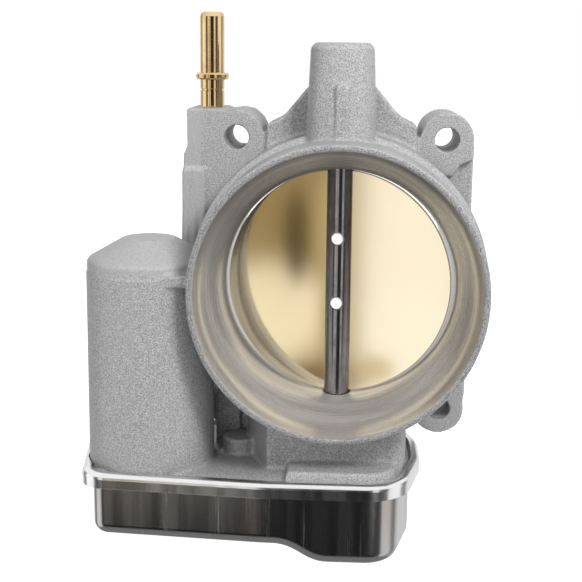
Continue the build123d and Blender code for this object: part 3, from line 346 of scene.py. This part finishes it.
def moulded(name, colour, rough, spread=0.12):
    """Moulded plastic or rubber with a fine spark-eroded texture."""
    material, g = new_material(name)
    place = g.place()
    texture = g.noise(place, 1100.0, 3.0, 0.6)
    flow = g.noise(place, 55.0, 3.0, 0.5)
    lighter = tuple(min(1.0, part * (1 + spread) + 0.006) for part in colour)
    g.surface(
        Base_Color=g.mix(g.step(flow, 0.35, 0.70), colour, lighter),
        Roughness=g.step(texture, 0.25, 0.75, rough - 0.07, rough + 0.07),
        Normal=g.bump(texture, 0.05 * MM),
    )
    return material


def sintered(name, colour, rough):
    """A pressed powder: matt, grainy and slightly pitted."""
    material, g = new_material(name)
    place = g.place()
    grain = g.noise(place, 1900.0, 4.0, 0.7)
    pits = g.step(g.cells(place, 900.0), 0.16, 0.05)
    lighter = tuple(1.5 * part for part in colour)
    base = g.mix(g.step(grain, 0.35, 0.70), colour, lighter)
    g.surface(
        Base_Color=g.mix(g.multiply(pits, 0.6), base, (0.01, 0.01, 0.01)),
        Metallic=0.35,
        Roughness=rough,
        Normal=g.bump(g.math("SUBTRACT", grain, pits), 0.04 * MM),
    )
    return material


def laminated():
    """A stack of stamped sheets, edges showing as fine lines."""
    material, g = new_material("lamination")
    place = g.place()
    z = g.split(place)[2]
    sheet_t = 0.5 * MM
    phase = g.math("PINGPONG", z, sheet_t / 2)
    groove = g.step(phase, 0.0, 0.06 * MM)
    tint = g.noise(place, 300.0, 3.0, 0.6)
    edge = g.mix(g.step(tint, 0.3, 0.7), (0.30, 0.30, 0.32), (0.42, 0.40, 0.38))
    g.surface(
        Base_Color=g.mix(groove, (0.05, 0.05, 0.06), edge),
        Metallic=0.9,
        Roughness=0.42,
        Normal=g.bump(groove, 0.05 * MM),
    )
    return material


def copper():
    """Enamelled copper with the lines of its turns, and painted shade in the grooves between the turns.
    """
    material, g = new_material("copper")
    place = g.place()
    x, y, z = g.split(place)
    strand_t = 0.4 * MM
    slant = g.math("ADD", z, g.multiply(g.math("ADD", x, y), 0.35))
    strand = g.math("PINGPONG", slant, strand_t / 2)
    # Painted shade: the colour darkens into the grooves between the turns and is lighter on their
    # crowns; the same ramp gives the bump.
    crown_and_painted_groove_shade = g.step(strand, 0.0, strand_t / 2)
    tint = g.noise(place, 220.0, 3.0, 0.6)
    enamel = g.mix(g.step(tint, 0.35, 0.7), (0.62, 0.25, 0.11), (0.80, 0.40, 0.20))
    g.surface(
        Base_Color=g.mix(crown_and_painted_groove_shade, (0.20, 0.07, 0.03), enamel),
        Metallic=0.95,
        Roughness=0.28,
        Normal=g.bump(crown_and_painted_groove_shade, 0.10 * MM),
    )
    return material


def board():
    """Circuit board: green lacquer over glass cloth, with carbon tracks round the shaft."""
    material, g = new_material("board")
    place = g.place()
    x, y, _ = g.split(place)
    from_shaft = g.distance(g.math("SUBTRACT", x, SHAFT_X), g.math("SUBTRACT", y, SHAFT_Y))
    track_pitch = 2.2 * MM
    track = g.step(g.math("PINGPONG", from_shaft, track_pitch / 2), 0.35 * MM, 0.5 * MM)
    near = g.step(from_shaft, BOARD_TRACKS_R + 0.3 * MM, BOARD_TRACKS_R)
    weave_x = g.math("SINE", g.multiply(x, 2 * math.pi / (0.6 * MM)))
    weave_y = g.math("SINE", g.multiply(y, 2 * math.pi / (0.6 * MM)))
    weave = g.math("MULTIPLY", weave_x, weave_y)
    lacquer = g.mix(g.step(weave, -1.0, 1.0), (0.018, 0.12, 0.055), (0.03, 0.17, 0.08))
    tracks = g.multiply(track, near)
    g.surface(
        Base_Color=g.mix(tracks, lacquer, (0.02, 0.02, 0.02)),
        Roughness=g.step(tracks, 0.0, 1.0, 0.24, 0.55),
        Coat_Weight=0.4,
        Normal=g.bump(g.math("ADD", g.multiply(weave, 0.2), tracks), 0.02 * MM),
    )
    return material


MATERIALS = {
    "cast_alloy": cast_alloy(),
    "drawn_steel": drawn_steel(),
    "brass": polished_brass(),
    "plate_brass": plate_brass(),
    "shaft_steel": ground_steel("shaft_steel", (0.36, 0.35, 0.35), 0.16),
    "steel": ground_steel("steel", (0.74, 0.74, 0.75), 0.30),
    "screw_steel": zinc_plated(),
    "bearing_steel": ground_steel("bearing_steel", (0.60, 0.60, 0.62), 0.20),
    "spring_steel": ground_steel("spring_steel", (0.30, 0.30, 0.32), 0.30, 0.010),
    "gear_plastic": moulded("gear_plastic", (0.72, 0.66, 0.52), 0.42),
    "black_plastic": moulded("black_plastic", (0.022, 0.022, 0.024), 0.46, 0.30),
    "seal_rubber": moulded("seal_rubber", (0.014, 0.014, 0.015), 0.62, 0.30),
    "magnet": sintered("magnet", (0.09, 0.09, 0.095), 0.60),
    "lamination": laminated(),
    "copper": copper(),
    "carbon": sintered("carbon", (0.035, 0.035, 0.037), 0.50),
    "board": board(),
    "wire_cover": moulded("wire_cover", (0.36, 0.04, 0.03), 0.40),
}
SLOT_OF = {row["node"]: row["material_slot"] for row in frame["record"]["subparts"]}


def paint(obj, slot_name):
    """Give an object the finish of a material slot."""
    obj.data.materials.clear()
    obj.data.materials.append(MATERIALS[slot_name])


for name, obj in nodes.items():
    paint(obj, SLOT_OF[name])
# The plate's screws are plated, which the other steel pieces aren't.
paint(nodes["plate_screws"], "screw_steel")


# ---- Mesh helpers ----
def mesh_object(name, vertices, faces, slot_name):
    """A smooth-shaded mesh object in a material slot's finish."""
    mesh = bpy.data.meshes.new(name)
    mesh.from_pydata(vertices, [], faces)
    mesh.update()
    obj = bpy.data.objects.new(name, mesh)
    bpy.context.scene.collection.objects.link(obj)
    for face in mesh.polygons:
        face.use_smooth = True
    paint(obj, slot_name)
    return obj


def tube(name, points, radius, slot_name, sides=16):
    """A round bar swept along points, with domed ends."""
    path = [Vector(point) for point in points]
    tangents = []
    for here in range(len(path)):
        before = path[max(here - 1, 0)]
        after = path[min(here + 1, len(path) - 1)]
        tangents.append((after - before).normalized())
    side = tangents[0].orthogonal().normalized()
    stations = [(path[0] - tangents[0] * radius * 0.35, tangents[0], 0.7)]
    stations += [(point, tangent, 1.0) for point, tangent in zip(path, tangents)]
    stations += [(path[-1] + tangents[-1] * radius * 0.35, tangents[-1], 0.7)]
    vertices = []
    for centre, tangent, share in stations:
        side = (side - tangent * side.dot(tangent)).normalized()
        other = tangent.cross(side)
        for turn in range(sides):
            angle = 2 * math.pi * turn / sides
            spoke = side * math.cos(angle) + other * math.sin(angle)
            vertices.append(centre + spoke * radius * share)
    faces = []
    for ring in range(len(stations) - 1):
        for turn in range(sides):
            a = ring * sides + turn
            b = ring * sides + (turn + 1) % sides
            faces.append((a, b, b + sides, a + sides))
    faces.append(tuple(reversed(range(sides))))
    last = (len(stations) - 1) * sides
    faces.append(tuple(range(last, last + sides)))
    return mesh_object(name, vertices, faces, slot_name)


# ---- The casting, with every edge softened as a casting's is ----
CASTING_VOXEL = 0.6 * MM
SMOOTH_PASSES = 4
KEEP_WITHIN = 0.05 * MM
LET_GO_AT = 0.22 * MM


def welded(source, name):
    """A copy of a CAD node's mesh with its split corners welded."""
    obj = bpy.data.objects.new(name, source.data.copy())
    bpy.context.scene.collection.objects.link(obj)
    weld = obj.modifiers.new("weld", "WELD")
    weld.merge_threshold = 0.002 * MM
    return obj


def apply_modifiers(obj):
    """Turn an object's modifiers into its mesh."""
    depsgraph = bpy.context.evaluated_depsgraph_get()
    mesh = bpy.data.meshes.new_from_object(obj.evaluated_get(depsgraph))
    obj.modifiers.clear()
    obj.data = mesh
    return mesh


def positions(mesh):
    flat = np.empty(3 * len(mesh.vertices), np.float64)
    mesh.vertices.foreach_get("co", flat)
    return flat.reshape(-1, 3)


def smoothed(points, edges, passes):
    """Points moved towards the mean of their neighbours, a number of times."""
    a, b = edges[:, 0], edges[:, 1]
    neighbours = np.bincount(a, minlength=len(points)) + np.bincount(b, minlength=len(points))
    neighbours = np.maximum(neighbours, 1)[:, None]
    for _ in range(passes):
        total = np.empty_like(points)
        for axis in range(3):
            total[:, axis] = np.bincount(a, points[b, axis], len(points))
            total[:, axis] += np.bincount(b, points[a, axis], len(points))
        points = 0.5 * points + 0.5 * total / neighbours
    return points


def soft_copy(source, name, voxel, passes, slot_name):
    """A remeshed copy of a CAD node: its faces stay where they are, its edges and corners turn round."""
    exact = welded(source, name + "_exact")
    surface_mesh = apply_modifiers(exact)
    surface = BVHTree.FromPolygons(
        [vertex.co for vertex in surface_mesh.vertices],
        [tuple(face.vertices) for face in surface_mesh.polygons],
    )
    remesh = exact.modifiers.new("remesh", "REMESH")
    remesh.mode = "VOXEL"
    remesh.voxel_size = voxel
    mesh = apply_modifiers(exact)
    edges = np.empty(2 * len(mesh.edges), np.int64)
    mesh.edges.foreach_get("vertices", edges)
    points = smoothed(positions(mesh), edges.reshape(-1, 2), passes)
    for index, point in enumerate(points):
        nearest, _, _, gap = surface.find_nearest(Vector(point))
        share = min(max((gap - KEEP_WITHIN) / (LET_GO_AT - KEEP_WITHIN), 0.0), 1.0)
        share = share * share * (3 - 2 * share)
        points[index] = np.array(nearest) * (1 - share) + point * share
    low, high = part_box(source.name)
    points = np.clip(points, np.array(low), np.array(high))
    mesh.vertices.foreach_set("co", points.ravel())
    mesh.update()
    exact.name = name
    for face in mesh.polygons:
        face.use_smooth = True
    paint(exact, slot_name)
    return exact


casting = soft_copy(
    nodes["throttle_housing"], "casting", CASTING_VOXEL, SMOOTH_PASSES, "cast_alloy"
)
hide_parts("throttle_housing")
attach(casting, "housing")

# ---- The return spring: a coil that winds up between the housing and the sector gear ----
WIRE_R = 0.9 * MM
COIL_R = 10.6 * MM
COIL_TURNS = 4.25
COIL_TOP_Z = -59.1 * MM
COIL_FOOT_Z = -70.4 * MM
SPRING_LEG_X = 0.3 * MM
STEPS_PER_TURN = 48


def spring_points():
    """The spring's centre line: the hooked leg, the coil and the leg held by the housing."""
    points = [(COIL_R, SHAFT_Y, COIL_FOOT_Z - 1.2 * MM)]
    steps = round(COIL_TURNS * STEPS_PER_TURN)
    for step in range(steps + 1):
        angle = 2 * math.pi * COIL_TURNS * step / steps
        z = COIL_FOOT_Z + (COIL_TOP_Z - COIL_FOOT_Z) * step / steps
        points.append((COIL_R * math.cos(angle), SHAFT_Y + COIL_R * math.sin(angle), z))
    points.append((SPRING_LEG_X, SHAFT_Y + COIL_R + 1.5 * MM, COIL_TOP_Z))
    points.append((SPRING_LEG_X, SHAFT_Y + COIL_R + 4.6 * MM, COIL_TOP_Z))
    return points


spring = tube("spring_coil", spring_points(), WIRE_R, "spring_steel")
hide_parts("return_spring")
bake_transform(spring)

# ---- Floor ----
FLOOR_SIZE = 6.0
FLOOR_GAP = 0.05 * MM
# The floor's own glow to the camera alone, which lets it run into the white background.
FLOOR_LIFT = 0.90


def make_floor():
    """A plain pale floor that polished metal doesn't mirror."""
    half = FLOOR_SIZE / 2
    corners = [(-half, -half, 0), (half, -half, 0), (half, half, 0), (-half, half, 0)]
    mesh = bpy.data.meshes.new("floor")
    mesh.from_pydata(corners, [], [(0, 1, 2, 3)])
    floor = bpy.data.objects.new("floor", mesh)
    bpy.context.scene.collection.objects.link(floor)
    floor.location.z = FLOOR_Z - FLOOR_GAP
    floor.visible_glossy = False
    material, g = new_material("floor")
    tone = g.noise(g.place(), 3.0, 2.0)
    to_camera = g.node("ShaderNodeLightPath", {}).outputs["Is Camera Ray"]
    g.surface(
        Base_Color=g.mix(g.step(tone, 0.3, 0.7), (0.93, 0.93, 0.93), (0.95, 0.95, 0.95)),
        Roughness=0.9,
        Specular_IOR_Level=0.0,
        Emission_Color=rgba(1.0),
        Emission_Strength=g.multiply(to_camera, FLOOR_LIFT),
    )
    floor.data.materials.append(material)


make_floor()

# ---- Studio: what polished metal sees around it, by direction ----
# The dim warm stretch that the left half of the plate mirrors.
PLATE_BROWN = (0.34, 0.26, 0.14)
# Brightness or colour by azimuth in degrees: 0 is towards the camera, positive is to the
# object's right.
ROUND_THE_ROOM = [
    (-180, 0.85),
    (-128, 0.85),
    (-120, 0.30),
    (-106, 0.25),
    (-98, 1.20),
    (-62, 1.10),
    (-55, 0.12),
    (-40, 0.10),
    (-36, 0.95),
    (-26, 0.95),
    (-24.4, PLATE_BROWN),
    (-18.4, PLATE_BROWN),
    (-17.4, 1.10),
    (-12.4, 1.10),
    (-11.0, 0.04),
    (20, 0.03),
    (23, 0.90),
    (35, 0.90),
    (39, 0.08),
    (58, 0.10),
    (64, 1.00),
    (96, 1.05),
    (106, 0.30),
    (120, 0.30),
    (128, 0.85),
    (180, 0.85),
]
# Soft shapes in the left of the view that the plate mirrors: azimuth, elevation, half width,
# half height and colour.
MIRRORED_SHAPES = [
    (-22.0, -12.4, 3.0, 2.4, (1.00, 0.95, 0.82)),
    (-19.0, -12.6, 0.4, 1.6, (0.42, 0.32, 0.16)),
    (-20.7, -8.6, 0.6, 2.2, (0.07, 0.05, 0.02)),
    (-19.2, -8.0, 0.5, 2.4, (0.55, 0.44, 0.25)),
    (-19.3, -15.4, 1.9, 0.6, (0.16, 0.11, 0.04)),
    (-16.7, -15.0, 0.9, 0.6, (0.62, 0.52, 0.34)),
]


def make_world():
    """A white background to the camera, an even light to matt surfaces and a room to metal."""
    world = bpy.data.worlds.new("studio")
    world.use_nodes = True
    g = Graph(world.node_tree)
    direction = g.node("ShaderNodeTexCoord", {}).outputs["Generated"]
    x, y, z = g.split(direction)
    azimuth = g.math("DEGREES", g.math("ARCTAN2", x, g.multiply(y, -1.0)))
    elevation = g.math("DEGREES", g.math("ARCSINE", z))

    stops = [((degrees + 180) / 360, tone) for degrees, tone in ROUND_THE_ROOM]
    turn = g.math("DIVIDE", g.math("ADD", azimuth, 180.0), 360.0)
    room = g.ramp(turn, stops)
    for centre, height, half_width, half_height, colour in MIRRORED_SHAPES:
        across = g.math("DIVIDE", g.math("SUBTRACT", azimuth, centre), half_width)
        up = g.math("DIVIDE", g.math("SUBTRACT", elevation, height), half_height)
        room = g.mix(g.step(g.distance(across, up), 1.45, 0.6), room, colour)
    ahead = g.step(g.math("ABSOLUTE", azimuth, 0.0), 48.0, 40.0)
    low = g.step(elevation, -17.0, -19.5)
    room = g.mix(g.multiply(ahead, low), room, 0.015)
    room = g.mix(g.step(elevation, 14.0, 26.0), room, 1.05)
    room = g.mix(g.step(elevation, -38.0, -50.0), room, 0.30)

    paths = g.node("ShaderNodeLightPath", {}).outputs
    seen = g.node("ShaderNodeBackground", {"Color": rgba(1.0), "Strength": 1.0}).outputs[0]
    mirrored = g.node("ShaderNodeBackground", {"Color": room, "Strength": 1.0}).outputs[0]
    facing = g.step(y, 0.20, -0.90, 0.02, 0.85)
    sky = g.math("ADD", facing, g.step(elevation, 0.0, 80.0, 0.0, 0.30))
    even = g.node("ShaderNodeBackground", {"Color": sky, "Strength": 0.80}).outputs[0]
    lit = g.node("ShaderNodeMixShader", {0: paths["Is Diffuse Ray"], 1: mirrored, 2: even})
    shown = g.node("ShaderNodeMixShader", {0: paths["Is Camera Ray"], 1: lit.outputs[0], 2: seen})
    g.node("ShaderNodeOutputWorld", {"Surface": shown.outputs[0]})
    bpy.context.scene.world = world


make_world()


def area_light(name, place, aim, size, power):
    """A soft square light that points at aim."""
    light = bpy.data.lights.new(name, "AREA")
    light.size = size
    light.energy = power
    lamp = bpy.data.objects.new(name, light)
    lamp.location = place
    lamp.rotation_euler = (Vector(aim) - Vector(place)).to_track_quat("-Z", "Y").to_euler()
    lamp.visible_glossy = False
    bpy.context.scene.collection.objects.link(lamp)
    return lamp


CENTRE = (cad_low + cad_high) / 2
KEY_AIM = (0.0, -0.03, 0.03)
area_light("key_light", place=(0.20, -0.36, 0.30), aim=KEY_AIM, size=0.14, power=3.0)
area_light("fill_light", place=(-0.35, -0.55, 0.20), aim=CENTRE, size=0.4, power=1.0)

# ---- Camera ----
CAMERA_PLACE = Vector((0.00418, -0.46525, 0.07995))
CAMERA_YAW = math.radians(-2.92)
CAMERA_PITCH = math.radians(11.27)
CAMERA_ROLL = math.radians(0.58)
CAMERA_LENS = 72.84


def make_camera():
    """Looks in at the inlet from a little above."""
    data = bpy.data.cameras.new("camera")
    data.sensor_width = 36.0
    data.lens = CAMERA_LENS
    data.clip_start = 0.01
    forward = Vector((
        math.sin(CAMERA_YAW) * math.cos(CAMERA_PITCH),
        math.cos(CAMERA_YAW) * math.cos(CAMERA_PITCH),
        -math.sin(CAMERA_PITCH),
    ))
    level_right = Vector((math.cos(CAMERA_YAW), -math.sin(CAMERA_YAW), 0.0))
    level_up = level_right.cross(forward)
    right = math.cos(CAMERA_ROLL) * level_right + math.sin(CAMERA_ROLL) * level_up
    up = math.cos(CAMERA_ROLL) * level_up - math.sin(CAMERA_ROLL) * level_right
    turn = Matrix((right, up, -forward)).transposed().to_4x4()
    camera = bpy.data.objects.new("camera", data)
    camera.matrix_world = Matrix.Translation(CAMERA_PLACE) @ turn
    bpy.context.scene.collection.objects.link(camera)
    bpy.context.scene.camera = camera


make_camera()
bpy.context.scene.view_settings.view_transform = "Standard"
